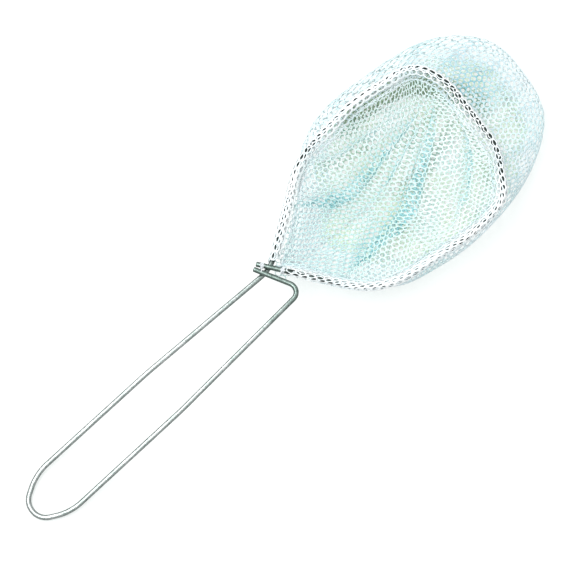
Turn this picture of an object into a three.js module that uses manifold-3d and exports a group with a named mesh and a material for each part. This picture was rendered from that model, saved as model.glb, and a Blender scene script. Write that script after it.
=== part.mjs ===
// Minnow dip net. One length of galvanised wire is bent into a long handle loop and a
// hoop, its two ends are welded across the throat, and a knitted mesh bag is hemmed round
// the hoop. Millimetres, +X from the handle to the hoop, +Z up, lying on z = 0.

import * as THREE from 'three';
import { mergeVertices } from 'three/addons/utils/BufferGeometryUtils.js';
import Module from 'manifold-3d';

// Wire frame
const wireDiameter = 3;
const handleLength = 194; // far end of the loop to the weld at the throat
const handleEndWidth = 30.4; // across the two legs, centre to centre
const handleThroatWidth = 22.8;
const handleWaist = 100; // the legs run level up to here, then close in to the throat
const handleEndDepth = 15.2; // length of the rounded end of the loop
const handleCornerRadius = 30;
const handleEndRadius = 10.4;
const hoopLength = 158.6; // throat weld to the far side, centre line
const hoopWidth = 110;
const throatBendRadius = 27;
const throatCornerPast = 1.2; // how far the left arm's bend into the handle lies past the throat
const crossbarBendRadius = 5.6;
const crossbarCorner = 5.9; // how far the handle's crossbar corner lies past the throat
const crossbarLift = 1;
const weldPastBend = 0.9; // the hoop's weld past the middle of the left arm's bend
const crossbarSpacing = 4.7; // between the two welds, along the wire that they cross
const hoopStub = 7; // length of each end past its weld
const handleStub = 5.8;
const weldWidth = 3;
const weldBite = 0.5;
const throatHeight = 20.2; // height of the wire's centre at the throat
const handleEndFlat = 12.2; // straight part of the handle's closed end, corner to corner

// The hoop's bends from the right of the throat round to its left: share of the hoop's
// length, share of half its width, and the bend's radius as a share of half its width.
const hoopBends = [
  [0.231, -0.809, 0.873],
  [0.641, -1.025, 1.818],
  [0.819, -0.986, 0.382],
  [0.948, -0.502, 0.727],
  [1.008, 0.456, 0.855],
  [0.966, 0.868, 0.327],
  [0.682, 0.995, 1.382],
  [0.382, 0.926, 1.127],
];

// Mesh bag
const clothThickness = 1.2;
const hemDepth = 4.4; // from the wire's centre down to the hem's line of stitches
const hemLean = 5.2; // how far the hem leans inwards on the way down
const hemStartRight = 10; // bare wire between the weld and the hem, on each arm
const hemStartLeft = 4.6;
const slumpForward = 56; // how far the bag lies out past the hoop
const slumpAside = 18;
const slumpStart = 105; // distance past the throat where the forward slump begins
const asideStart = 30;
const farCornerShare = 0.86; // the aside slump fades out from here to the hoop's far end
const bulgeShare = 0.42; // height of the bag's widest line as a share of the hem's height
const throatDraw = 14; // how far the cloth is drawn in under the throat
const throatDrawLength = 85;
const floorShare = 0.91; // size of the flat underside against the widest line
const shoulderReach = 0.2; // where the wall's curve turns down, from the widest line inwards
const shoulderRise = 0.62; // and upwards, both as shares of the way to the hem
const threadDiameter = 0.7;
const tieSetback = 1.7; // from the crossing wire to the left tie's loop

// Clearances
const seatGap = 0.3;
const weldGap = 0.35;
const restGap = 0.05; // between the table and the handle's far end

// Fineness of the round forms
const wireSides = 12;
const sleeveSides = 10;
const threadSides = 6;
const bendStep = THREE.MathUtils.degToRad(10);
const hemSteps = 60;
const throatSteps = 3;
const seamSteps = 8;
const easePasses = 3;

// Sizes that follow from those above
const wireRadius = wireDiameter / 2;
const threadRadius = threadDiameter / 2;
const weldLift = wireDiameter + weldGap;
const frameRest = wireRadius + restGap;
const frameTilt = Math.asin((throatHeight - frameRest) / handleLength);
const threadInset = clothThickness + seatGap + threadRadius;
const tieReach = seatGap + threadRadius;
const boreClear = 3 * wireDiameter; // how far the hem's bore is cut past its ends

// A point of the flat frame: distance from the far end of the handle along the frame,
// distance across it, and height above it.
function framePoint(along, across, lift = 0) {
  return new THREE.Vector3(along, across, lift);
}

// The frame lies with its handle's end on the table and its hoop raised by the bag.
function onTable(point) {
  const placed = point.clone().applyAxisAngle(new THREE.Vector3(0, 1, 0), -frameTilt);
  placed.z += frameRest;
  return placed;
}

// Stations along a wire that is bent at each point of a list: both ends of every straight
// run, and steps round every bend.
function bendStations(bends) {
  const last = bends.length - 1;
  const direction = (from, to) => to.point.clone().sub(from.point).normalize();
  const stations = [{ point: bends[0].point.clone(), tangent: direction(bends[0], bends[1]) }];
  for (let i = 1; i < last; i++) {
    const corner = bends[i].point;
    const inward = direction(bends[i - 1], bends[i]);
    const outward = direction(bends[i], bends[i + 1]);
    const halfTurn = inward.angleTo(outward) / 2;
    const runBefore = corner.distanceTo(bends[i - 1].point);
    const runAfter = corner.distanceTo(bends[i + 1].point);
    const shorterRun = Math.min(runBefore, runAfter);
    const reach = Math.min(bends[i].radius * Math.tan(halfTurn), 0.49 * shorterRun);
    const radius = reach / Math.tan(halfTurn);
    const towardsCentre = outward.clone().sub(inward).normalize();
    const centre = corner.clone().addScaledVector(towardsCentre, radius / Math.cos(halfTurn));
    const spoke = corner.clone().addScaledVector(inward, -reach).sub(centre).normalize();
    const steps = Math.max(2, Math.ceil((2 * halfTurn) / bendStep));
    for (let k = 0; k <= steps; k++) {
      const angle = (2 * halfTurn * k) / steps;
      const [cos, sin] = [Math.cos(angle), Math.sin(angle)];
      const ray = spoke.clone().multiplyScalar(cos).addScaledVector(inward, sin);
      const tangent = inward.clone().multiplyScalar(cos).addScaledVector(spoke, -sin);
      stations.push({ point: centre.clone().addScaledVector(ray, radius), tangent });
    }
  }
  stations.push({ point: bends[last].point.clone(), tangent: direction(bends[last - 1], bends[last]) });
  return stations;
}

// Stations through a plain list of points, each facing along the line through its
// neighbours.
function threadStations(points) {
  return points.map((point, i) => {
    const before = points[Math.max(i - 1, 0)];
    const after = points[Math.min(i + 1, points.length - 1)];
    return { point, tangent: after.clone().sub(before).normalize() };
  });
}

function stationDistances(stations) {
  const distances = [0];
  for (let i = 1; i < stations.length; i++) {
    distances.push(distances[i - 1] + stations[i].point.distanceTo(stations[i - 1].point));
  }
  return distances;
}

// The station at a distance along a run, found between its two neighbours.
function stationAt(stations, distances, distance) {
  const next = Math.max(1, distances.findIndex((value) => value >= distance));
  const share = (distance - distances[next - 1]) / (distances[next] - distances[next - 1]);
  const point = stations[next - 1].point.clone().lerp(stations[next].point, share);
  const tangent = stations[next - 1].tangent.clone().lerp(stations[next].tangent, share).normalize();
  return { point, tangent };
}

// The stretch of a run between two distances.
function stretch(stations, from, to) {
  const distances = stationDistances(stations);
  const isInner = (distance) => distance > from + seatGap && distance < to - seatGap;
  const inner = stations.filter((station, i) => isInner(distances[i]));
  return [stationAt(stations, distances, from), ...inner, stationAt(stations, distances, to)];
}

// A curve that visits its stations one by one, so that a tube along it has one ring of
// points at each station.
class StationCurve extends THREE.Curve {
  constructor(stations) {
    super();
    this.stations = stations;
  }

  getPointAt(share) {
    return this.stations[Math.round(share * (this.stations.length - 1))].point.clone();
  }

  getTangentAt(share) {
    return this.stations[Math.round(share * (this.stations.length - 1))].tangent.clone();
  }
}

// A round rod along a run of stations.
function rod(stations, radius, sides) {
  const corners = Array.from({ length: sides }, (unused, i) => {
    const angle = (2 * Math.PI * i) / sides;
    return new THREE.Vector2(radius * Math.cos(angle), radius * Math.sin(angle));
  });
  const path = new StationCurve(stations);
  return new THREE.ExtrudeGeometry(new THREE.Shape(corners), {
    steps: stations.length - 1,
    extrudePath: path,
  });
}

// The wire's path in the flat frame. Each end runs straight from the corner before it,
// passes over the wire of the left arm, where it is welded, and stops a stub further on.
function endPastWeld(corner, weld, stub) {
  const run = weld.clone().sub(corner);
  const rise = (weldLift - corner.z) / run.setZ(0).length();
  const reach = run.length() + stub;
  return corner.clone().addScaledVector(run.normalize(), reach).setZ(corner.z + rise * reach);
}

function wirePath() {
  const hoop = hoopBends.map(([alongShare, acrossShare, radiusShare]) => ({
    point: framePoint(handleLength + alongShare * hoopLength, (acrossShare * hoopWidth) / 2),
    radius: (radiusShare * hoopWidth) / 2,
  }));
  const throatCorner = {
    point: framePoint(handleLength + throatCornerPast, handleThroatWidth / 2),
    radius: throatBendRadius,
  };
  const halfEnd = handleEndWidth / 2;
  const halfFlat = handleEndFlat / 2;
  const handle = [
    { point: framePoint(handleWaist, halfEnd), radius: handleLength },
    { point: framePoint(handleEndDepth, halfEnd), radius: handleCornerRadius },
    { point: framePoint(0, halfFlat), radius: handleEndRadius },
    { point: framePoint(0, -halfFlat), radius: handleEndRadius },
    { point: framePoint(handleEndDepth, -halfEnd), radius: handleCornerRadius },
    { point: framePoint(handleWaist, -halfEnd), radius: handleLength },
  ];
  const crossbar = {
    point: framePoint(handleLength + crossbarCorner, -handleThroatWidth / 2, crossbarLift),
    radius: crossbarBendRadius,
  };

  const throat = bendStations([hoop.at(-1), throatCorner, handle[0]]);
  const throatDistances = stationDistances(throat);
  const weldDistance = throatDistances[Math.floor(throat.length / 2)] + weldPastBend;
  const hoopWeld = stationAt(throat, throatDistances, weldDistance).point;
  const handleWeld = stationAt(throat, throatDistances, weldDistance + crossbarSpacing).point;

  const start = { point: endPastWeld(hoop[0].point, hoopWeld, hoopStub) };
  const end = { point: endPastWeld(crossbar.point, handleWeld, handleStub) };
  const stations = bendStations([start, ...hoop, throatCorner, ...handle, crossbar, end]);
  return { stations, hoopWeld, handleWeld };
}

const wire = wirePath();
const wireDistances = stationDistances(wire.stations);

// The distance along the wire at which its lower run passes under a weld.
function distanceUnder(weld) {
  let best = 1;
  let least = Infinity;
  for (let i = 1; i < wire.stations.length; i++) {
    const run = new THREE.Line3(wire.stations[i - 1].point, wire.stations[i].point);
    const away = run.closestPointToPoint(weld, true, new THREE.Vector3()).distanceTo(weld);
    if (away < least) {
      least = away;
      best = i;
    }
  }
  const run = new THREE.Line3(wire.stations[best - 1].point, wire.stations[best].point);
  const share = run.closestPointToPointParameter(weld, true);
  return THREE.MathUtils.lerp(wireDistances[best - 1], wireDistances[best], share);
}

const hemFrom = hoopStub + hemStartRight;
const hemTo = distanceUnder(wire.hoopWeld) - hemStartLeft;

// The closed line that the bag hangs from: the hoop's wire from one end of the hem to the
// other, then free across the throat, a little lower and further in than the wire.
function rimPoints() {
  const points = [];
  for (let i = 0; i <= hemSteps; i++) {
    const distance = THREE.MathUtils.lerp(hemFrom, hemTo, i / hemSteps);
    points.push(stationAt(wire.stations, wireDistances, distance).point);
  }
  for (let i = 1; i < throatSteps; i++) {
    const across = points[hemSteps].clone().lerp(points[0], i / throatSteps);
    points.push(across.add(framePoint(wireDiameter, 0, -wireRadius)));
  }
  return points;
}

// A ring of the hem: the rim moved outwards and down, square to the frame.
function hemRing(rim, outwards, down) {
  return rim.map((point, i) => {
    const before = rim.at(i - 1);
    const after = rim[(i + 1) % rim.length];
    const side = new THREE.Vector3(after.y - before.y, before.x - after.x, 0).normalize();
    const moved = point.clone().addScaledVector(side, outwards);
    moved.z -= down;
    return onTable(moved);
  });
}

// Where a point of the rim lies in plan once the bag has slumped forwards and sideways.
function slumped(point) {
  const { smoothstep } = THREE.MathUtils;
  const past = point.x - handleLength;
  const forward = smoothstep(past, slumpStart, hoopLength);
  const drawn = 1 - smoothstep(past, 0, throatDrawLength);
  const aside = smoothstep(point.y, 0, hoopWidth / 2) * smoothstep(past, asideStart, slumpStart);
  const farCorner = 1 - smoothstep(past, farCornerShare * hoopLength, hoopLength);
  return new THREE.Vector3(
    point.x + slumpForward * forward + throatDraw * drawn,
    point.y + slumpAside * aside * farCorner,
    0,
  );
}

// A ring with its kinks eased: in each pass every point moves half way to the middle of
// its two neighbours.
function eased(ring, passes) {
  if (passes === 0) return ring;
  const once = ring.map((point, i) => {
    const between = ring.at(i - 1).clone().lerp(ring[(i + 1) % ring.length], 0.5);
    return point.clone().lerp(between, 0.5);
  });
  return eased(once, passes - 1);
}

// The rings of the bag's outer face, from the edge of its flat underside up to the hem.
function bagRings(rim) {
  const hem = hemRing(rim, clothThickness / 2 - hemLean, hemDepth);
  const top = hemRing(rim, clothThickness / 2, wireRadius + seatGap + clothThickness / 2);
  const plan = eased(rim.map((point) => slumped(onTable(point))), easePasses);
  const widest = plan.map((point, i) => point.setZ(bulgeShare * hem[i].z));
  const centre = new THREE.Box3().setFromPoints(widest).getCenter(new THREE.Vector3());
  const floor = widest.map((point) => {
    const past = point.x - handleLength;
    const drawn = 1 - THREE.MathUtils.smoothstep(past, throatDraw, throatDrawLength);
    const edge = point.clone().sub(centre).multiplyScalar(floorShare).add(centre);
    return edge.setX(edge.x + throatDraw * drawn).setZ(0);
  });
  const lowerCurve = widest.map((point, i) => {
    const corner = new THREE.Vector3(point.x, point.y, 0);
    return new THREE.QuadraticBezierCurve3(floor[i], corner, point);
  });
  const upperCurve = widest.map((point, i) => {
    const shoulder = point.clone().lerp(hem[i], shoulderReach);
    shoulder.z = THREE.MathUtils.lerp(point.z, hem[i].z, shoulderRise);
    return new THREE.QuadraticBezierCurve3(point, shoulder, hem[i]);
  });
  const ringAt = (curves, share) => curves.map((curve) => curve.getPoint(share));
  const rings = [
    floor,
    ringAt(lowerCurve, 0.5),
    widest,
    ringAt(upperCurve, 0.25),
    ringAt(upperCurve, 0.5),
    ringAt(upperCurve, 0.75),
    hem,
    top,
  ];
  return { rings, centre: centre.setZ(0) };
}

// Each ring moved towards the inside of the bag by a depth, square to the cloth.
function insetRings(rings, depth) {
  return rings.map((ring, r) =>
    ring.map((point, i) => {
      const around = ring[(i + 1) % ring.length].clone().sub(ring.at(i - 1));
      const below = rings[Math.max(r - 1, 0)][i];
      const above = rings[Math.min(r + 1, rings.length - 1)][i];
      const outwards = around.cross(above.clone().sub(below)).normalize();
      const moved = point.clone().addScaledVector(outwards, -depth);
      return r === 0 ? moved.setZ(depth) : moved;
    }),
  );
}

// A closed skin over a list of rings, with a point at each end.
function skinOver(rings, firstPole, lastPole) {
  const around = rings[0].length;
  const points = [...rings.flat(), firstPole, lastPole];
  const faces = [];
  for (let i = 0; i < around; i++) {
    const next = (i + 1) % around;
    const lastRing = (rings.length - 1) * around;
    faces.push(points.length - 2, next, i, lastRing + i, lastRing + next, points.length - 1);
    for (let r = 0; r < rings.length - 1; r++) {
      const low = r * around;
      const high = low + around;
      faces.push(low + i, low + next, high + next, low + i, high + next, high + i);
    }
  }
  const geometry = new THREE.BufferGeometry().setFromPoints(points);
  geometry.setIndex(faces);
  return geometry;
}

// Joining and cutting of closed solids
const wasm = await Module();
wasm.setup();

function solid(geometry) {
  const bare = geometry.clone();
  bare.deleteAttribute('normal');
  bare.deleteAttribute('uv');
  const merged = mergeVertices(bare, 1e-4);
  return new wasm.Manifold(
    new wasm.Mesh({
      numProp: 3,
      vertProperties: new Float32Array(merged.attributes.position.array),
      triVerts: new Uint32Array(merged.index.array),
    }),
  );
}

function geometryOf(shape) {
  const mesh = shape.getMesh();
  const geometry = new THREE.BufferGeometry();
  geometry.setAttribute('position', new THREE.BufferAttribute(mesh.vertProperties, 3));
  geometry.setIndex(new THREE.BufferAttribute(mesh.triVerts, 1));
  geometry.computeVertexNormals();
  return geometry;
}

// Stations moved from the flat frame to where the frame lies.
function layDown(stations) {
  return stations.map(({ point, tangent }) => ({
    point: onTable(point),
    tangent: onTable(tangent).setZ(onTable(tangent).z - frameRest),
  }));
}

// A resistance weld is a flat lens of metal between two crossing wires.
function weldLens(weld) {
  const lens = new THREE.SphereGeometry(1, wireSides, wireSides / 2);
  lens.scale(weldWidth / 2, weldWidth / 2, weldGap / 2 + weldBite);
  const centre = onTable(weld.clone().setZ(weldLift / 2));
  lens.rotateX(Math.PI / 2).rotateY(-frameTilt).translate(centre.x, centre.y, centre.z);
  return lens;
}

function wireFrame() {
  const bentWire = solid(rod(layDown(wire.stations), wireRadius, wireSides));
  const joined = bentWire.add(solid(weldLens(wire.hoopWeld))).add(solid(weldLens(wire.handleWeld)));
  return geometryOf(joined);
}

// The bag's wall joined to the hem, a sleeve round the wire that is open at both ends.
function netBag(bag) {
  const inner = insetRings(bag.rings, clothThickness);
  const rings = [...bag.rings, ...inner.reverse()];
  const wall = skinOver(rings, bag.centre, bag.centre.clone().setZ(clothThickness));
  const roundedUp = 1 / Math.cos(Math.PI / sleeveSides);
  const boreRadius = (wireRadius + seatGap) * roundedUp;
  const sleeveRun = layDown(stretch(wire.stations, hemFrom, hemTo));
  const sleeve = rod(sleeveRun, boreRadius + clothThickness, sleeveSides);
  const boreRun = layDown(stretch(wire.stations, hemFrom - boreClear, hemTo + boreClear));
  const bore = rod(boreRun, boreRadius, sleeveSides);
  return geometryOf(solid(wall).add(solid(sleeve)).subtract(solid(bore)));
}

// The thread that closes the hem runs round the inside of the bag under the wire, and
// stops a step short of each end of the hem.
function hemStitching(bag) {
  const hemLine = insetRings(bag.rings, threadInset).at(-2);
  return rod(threadStations(hemLine.slice(1, hemSteps)), threadRadius, threadSides);
}

// The seam that closes the bag runs down inside its far end, along the floor and up again
// to the throat.
function seamStitching(bag) {
  const rings = insetRings(bag.rings, threadInset).slice(0, -2);
  const farSide = Math.round(hemSteps / 2);
  const throatSide = hemSteps + 1;
  const down = rings.map((ring) => ring[farSide]).reverse();
  const up = rings.map((ring) => ring[throatSide]);
  const floor = Array.from({ length: seamSteps - 1 }, (unused, i) =>
    down.at(-1).clone().lerp(up[0], (i + 1) / seamSteps),
  );
  return rod(threadStations([...down, ...floor, ...up]), threadRadius, threadSides);
}

// A loop of thread round the hoop's crossbar, at a distance along the wire from its end.
function throatTie(distance) {
  const { point, tangent } = stationAt(wire.stations, wireDistances, distance);
  const loop = new THREE.TorusGeometry(wireRadius + tieReach, threadRadius, threadSides, wireSides);
  const tie = new THREE.Mesh(loop);
  const [laid] = layDown([{ point, tangent }]);
  tie.position.copy(laid.point);
  tie.quaternion.setFromUnitVectors(new THREE.Vector3(0, 0, 1), laid.tangent);
  return tie;
}

function finish(color, roughness, metalness) {
  return new THREE.MeshStandardMaterial({ color, roughness, metalness });
}

const galvanised = finish(0x98a39f, 0.42, 0.9);
const mesh = finish(0xdcf2f3, 0.75, 0);
const thread = finish(0xf3f6f7, 0.7, 0);

function piece(name, shape, material) {
  const node = shape.isMesh ? shape : new THREE.Mesh(shape);
  node.name = name;
  node.material = material;
  return node;
}

const bag = bagRings(rimPoints());
const dipNet = new THREE.Group();
dipNet.add(
  piece('wire_frame', wireFrame(), galvanised),
  piece('net_bag', netBag(bag), mesh),
  piece('hem_stitching', hemStitching(bag), thread),
  piece('seam_stitching', seamStitching(bag), thread),
  piece('throat_tie_left', throatTie(hoopStub - wireRadius - tieSetback), thread),
  piece('throat_tie_right', throatTie(hemFrom - threadDiameter - tieReach), thread),
);

// The origin is under the middle of the whole net.
const extents = new THREE.Box3().setFromObject(dipNet);
const middle = extents.getCenter(new THREE.Vector3());
dipNet.position.set(-middle.x, -middle.y, -extents.min.z);

export default dipNet;
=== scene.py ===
import math

import bpy
import numpy as np
from mathutils import Matrix, Vector


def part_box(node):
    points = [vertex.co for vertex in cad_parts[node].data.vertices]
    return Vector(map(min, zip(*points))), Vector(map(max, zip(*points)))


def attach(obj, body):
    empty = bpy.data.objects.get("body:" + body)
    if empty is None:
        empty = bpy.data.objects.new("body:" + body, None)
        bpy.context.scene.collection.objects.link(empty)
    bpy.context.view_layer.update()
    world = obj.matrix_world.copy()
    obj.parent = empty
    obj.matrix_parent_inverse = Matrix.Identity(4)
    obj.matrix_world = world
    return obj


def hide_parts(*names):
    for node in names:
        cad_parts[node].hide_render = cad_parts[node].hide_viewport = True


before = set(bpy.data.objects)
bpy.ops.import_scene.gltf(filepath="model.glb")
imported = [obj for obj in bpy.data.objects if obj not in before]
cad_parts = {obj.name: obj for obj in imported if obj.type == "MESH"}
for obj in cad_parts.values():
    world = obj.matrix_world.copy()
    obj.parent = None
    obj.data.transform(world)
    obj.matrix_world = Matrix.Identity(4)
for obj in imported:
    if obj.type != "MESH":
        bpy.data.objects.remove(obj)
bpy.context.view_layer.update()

# Wire frame. One length of 3 mm galvanised steel wire, bent cold into the handle loop and the
# hoop. Its two ends cross the throat and are resistance welded to the wire under them.
# Sizes are in millimetres, along and across the flat frame from the far end of the handle.
MM = 0.001
WIRE_RADIUS = 1.5
HANDLE_LENGTH = 194.0
HANDLE_END_WIDTH = 30.4
HANDLE_THROAT_WIDTH = 22.8
HANDLE_WAIST = 100.0
HANDLE_END_DEPTH = 15.2
HANDLE_CORNER_RADIUS = 30.0
HANDLE_END_RADIUS = 10.4
HANDLE_END_FLAT = 12.2
HOOP_LENGTH = 158.6
HOOP_WIDTH = 110.0
THROAT_CORNER = 1.2
THROAT_BEND_RADIUS = 27.0
CROSSBAR_CORNER = (5.9, 1.0)
CROSSBAR_BEND_RADIUS = 5.6
HOOP_STUB = 7.0
HANDLE_STUB = 5.8
WELD_LIFT = 3.35
# Where the hoop's end and the handle's end cross the wire that they are welded to.
HOOP_WELD = (193.943, 12.558)
HANDLE_WELD = (189.307, 11.859)
THROAT_HEIGHT = 20.2
# The hoop's bends: share of its length, share of half its width, and radius over half its width.
HOOP_BENDS = (
    (0.231, -0.809, 0.873),
    (0.641, -1.025, 1.818),
    (0.819, -0.986, 0.382),
    (0.948, -0.502, 0.727),
    (1.008, 0.456, 0.855),
    (0.966, 0.868, 0.327),
    (0.682, 0.995, 1.382),
    (0.382, 0.926, 1.127),
)
# Bare wire between the throat and the cloth on each arm.
BARE_RIGHT = 10.0
BARE_LEFT = 2.0
# The zinc is darker and greener at the throat: how far past the hem on the left arm, and from how
# far before the wire's end it sets in and is full.
THROAT_TINT_REACH = 26
CROSSBAR_RUN = 58
BRIGHT_RUN = 36
FRAME_REST = WIRE_RADIUS + 0.05
FRAME_TILT = math.asin((THROAT_HEIGHT - FRAME_REST) / HANDLE_LENGTH)
FRAME_UP = np.array([-math.sin(FRAME_TILT), 0.0, math.cos(FRAME_TILT)])


def unit(vectors):
    """Vectors divided by their own length."""
    return vectors / np.maximum(np.linalg.norm(vectors, axis=-1, keepdims=True), 1e-9)


def run_of(points):
    """Distance along a line of points, from its first point."""
    steps = np.linalg.norm(np.diff(points, axis=0), axis=1)
    return np.concatenate([[0.0], np.cumsum(steps)])


def evened(points, spacing):
    """The same line with its points at even distances, found between neighbours."""
    run = run_of(points)
    at = np.linspace(0, run[-1], max(int(run[-1] / spacing), 2) + 1)
    return np.stack([np.interp(at, run, points[:, k]) for k in range(3)], axis=1)


def bent_line(corners, spacing):
    """A wire bent at each corner (x, y, z, radius): straight runs joined by arcs. An arc's centre
    lies on the corner's bisector at radius / cos(half the turn), and its points are
    centre + spoke cos(a) + way in x radius sin(a)."""
    places = np.array([corner[:3] for corner in corners], float)
    runs = np.diff(places, axis=0)
    lengths = np.linalg.norm(runs, axis=1)
    ways = unit(runs)
    pieces = [places[:1]]
    for i in range(1, len(places) - 1):
        half = math.acos(min(max(float(ways[i - 1] @ ways[i]), -1.0), 1.0)) / 2
        reach = min(corners[i][3] * math.tan(half), 0.49 * min(lengths[i - 1], lengths[i]))
        radius = reach / math.tan(half)
        centre = places[i] + unit(ways[i] - ways[i - 1]) * radius / math.cos(half)
        spoke = places[i] - ways[i - 1] * reach - centre
        turn = np.linspace(0, 2 * half, 33)[:, None]
        pieces.append(centre + spoke * np.cos(turn) + ways[i - 1] * radius * np.sin(turn))
    pieces.append(places[-1:])
    return evened(np.vstack(pieces), spacing)


def over_weld(corner, weld, stub):
    """The end of a wire that runs straight from a corner over a weld and a stub further on."""
    run = np.array(weld) - corner[:2]
    rise = (WELD_LIFT - corner[2]) / np.linalg.norm(run)
    reach = np.linalg.norm(run) + stub
    return (*(corner[:2] + unit(run) * reach), corner[2] + rise * reach, 0)


def laid_down(points):
    """Points of the flat frame where it lies: turned up about the end of the handle and lifted."""
    x, y, z = np.moveaxis(np.asarray(points, float), -1, 0)
    tilted = [
        x * math.cos(FRAME_TILT) - z * math.sin(FRAME_TILT),
        y,
        x * math.sin(FRAME_TILT) + z * math.cos(FRAME_TILT) + FRAME_REST,
    ]
    return np.stack(tilted, axis=-1)


def wire_line(spacing):
    """The centre line of the whole wire in the flat frame, from the stub beside the hoop's weld."""
    half_end = HANDLE_END_WIDTH / 2
    hoop = [
        (HANDLE_LENGTH + along * HOOP_LENGTH, across * HOOP_WIDTH / 2, 0, bend * HOOP_WIDTH / 2)
        for along, across, bend in HOOP_BENDS
    ]
    handle = [
        (HANDLE_LENGTH + THROAT_CORNER, HANDLE_THROAT_WIDTH / 2, 0, THROAT_BEND_RADIUS),
        (HANDLE_WAIST, half_end, 0, HANDLE_LENGTH),
        (HANDLE_END_DEPTH, half_end, 0, HANDLE_CORNER_RADIUS),
        (0, HANDLE_END_FLAT / 2, 0, HANDLE_END_RADIUS),
        (0, -HANDLE_END_FLAT / 2, 0, HANDLE_END_RADIUS),
        (HANDLE_END_DEPTH, -half_end, 0, HANDLE_CORNER_RADIUS),
        (HANDLE_WAIST, -half_end, 0, HANDLE_LENGTH),
    ]
    crossbar = (
        HANDLE_LENGTH + CROSSBAR_CORNER[0],
        -HANDLE_THROAT_WIDTH / 2,
        CROSSBAR_CORNER[1],
        CROSSBAR_BEND_RADIUS,
    )
    start = over_weld(np.array(hoop[0][:3]), HOOP_WELD, HOOP_STUB)
    end = over_weld(np.array(crossbar[:3]), HANDLE_WELD, HANDLE_STUB)
    return bent_line([start, *hoop, *handle, crossbar, end], spacing)


def rings_along(path, radii, sides, up):
    """Rings round a path: radius x (cos a x side + sin a x lift), where side is square to the path
    and to the up direction, and lift is square to both."""
    ways = unit(np.gradient(path, axis=0))
    side = unit(np.cross(ways, up))
    lift = np.cross(side, ways)
    angle = np.linspace(0, 2 * math.pi, sides, endpoint=False)[None, :, None]
    spokes = np.cos(angle) * side[:, None] + np.sin(angle) * lift[:, None]
    return path[:, None] + np.asarray(radii)[:, None, None] * spokes


def new_piece(name, points, faces, uvs=None, marks=None):
    """A mesh object from points in millimetres of the laid-down frame and lists of faces, each an
    array of corner numbers with one width. uvs hold one pair for each corner of each face."""
    mesh = bpy.data.meshes.new(name)
    mesh.vertices.add(len(points))
    mesh.vertices.foreach_set("co", ((points + PLACE) * MM).astype(np.float32).ravel())
    corners = np.concatenate([face.ravel() for face in faces])
    widths = np.concatenate([np.full(len(face), face.shape[1]) for face in faces])
    mesh.loops.add(len(corners))
    mesh.loops.foreach_set("vertex_index", corners.astype(np.int32))
    mesh.polygons.add(len(widths))
    starts = np.concatenate([[0], np.cumsum(widths)[:-1]])
    mesh.polygons.foreach_set("loop_start", starts.astype(np.int32))
    mesh.polygons.foreach_set("use_smooth", np.ones(len(widths), bool))
    if uvs is not None:
        layer = mesh.uv_layers.new(name="run")
        layer.data.foreach_set("uv", uvs.astype(np.float32).ravel())
    for label, values in (marks or {}).items():
        mark = mesh.attributes.new(label, "FLOAT", "POINT")
        mark.data.foreach_set("value", values.astype(np.float32))
    mesh.update(calc_edges=True)
    mesh.validate()
    piece = bpy.data.objects.new(name, mesh)
    bpy.context.scene.collection.objects.link(piece)
    return piece


def skin(rings):
    """Quads between neighbouring rings and a fan to a middle point at each end, with the points
    and the quads' corner numbers put so that the faces look outwards."""
    count, sides = rings.shape[:2]
    points = np.vstack([rings.reshape(-1, 3), rings[0].mean(0), rings[-1].mean(0)])
    row = np.arange(count - 1)[:, None] * sides
    at = np.arange(sides)[None, :]
    beyond = (at + 1) % sides
    quads = np.stack([row + at, row + beyond, row + sides + beyond, row + sides + at], -1)
    quads = quads.reshape(-1, 4)
    last = (count - 1) * sides
    first_fan = np.stack([beyond[0], at[0], np.full(sides, len(points) - 2)], -1)
    last_fan = np.stack([last + at[0], last + beyond[0], np.full(sides, len(points) - 1)], -1)
    a, b, c, d = (points[quads[:, k]] for k in range(4))
    middle = points.mean(0)
    volume = np.einsum("ij,ij->", (a + c) / 2 - middle, np.cross(c - a, d - b))
    if volume < 0:
        return points, [quads[:, ::-1], first_fan[:, ::-1], last_fan[:, ::-1]]
    return points, [quads, first_fan, last_fan]


def run_uvs(rings, faces):
    """Corner pairs for a skin: distance along the path, and distance round the ring."""
    count, sides = rings.shape[:2]
    along = run_of(rings.mean(1))
    radius = np.linalg.norm(rings - rings.mean(1, keepdims=True), axis=2).mean()
    around = np.arange(sides) * 2 * math.pi * radius / sides
    pairs = np.stack(np.broadcast_arrays(along[:, None], around[None, :]), -1).reshape(-1, 2)
    pairs = np.vstack([pairs, [along[0], 0], [along[-1], 0]])
    return np.concatenate([pairs[face].reshape(-1, 2) for face in faces])


def tone(red, green, blue):
    """A colour as a screen shows it, as the linear values that shaders take."""
    shown = (red, green, blue)
    return tuple(c / 12.92 if c <= 0.04045 else ((c + 0.055) / 1.055) ** 2.4 for c in shown)


def node(tree, kind, inputs=None, **settings):
    """A shader node with its settings made, its inputs set or joined to other nodes' outputs."""
    made = tree.nodes.new(kind)
    for label, value in settings.items():
        setattr(made, label, value)
    for label, value in (inputs or {}).items():
        if isinstance(value, bpy.types.NodeSocket):
            tree.links.new(value, made.inputs[label])
        else:
            made.inputs[label].default_value = value
    return made


def ramp(tree, factor, stops, interpolation="LINEAR"):
    """A colour ramp with stops of (place, colour)."""
    made = node(tree, "ShaderNodeValToRGB", {"Fac": factor})
    made.color_ramp.interpolation = interpolation
    elements = made.color_ramp.elements
    while len(elements) < len(stops):
        elements.new(0.5)
    for element, (place, colour) in zip(elements, stops):
        element.position = place
        element.color = (*colour, 1) if len(colour) == 3 else colour
    return made.outputs["Color"]


def material_of(name, **plain):
    """A material with its one Principled shader, whose plain sockets are set here."""
    made = bpy.data.materials.new(name)
    made.use_nodes = True
    shader = made.node_tree.nodes["Principled BSDF"]
    for label, value in plain.items():
        shader.inputs[label.replace("_", " ")].default_value = value
    return made, made.node_tree, shader


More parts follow.
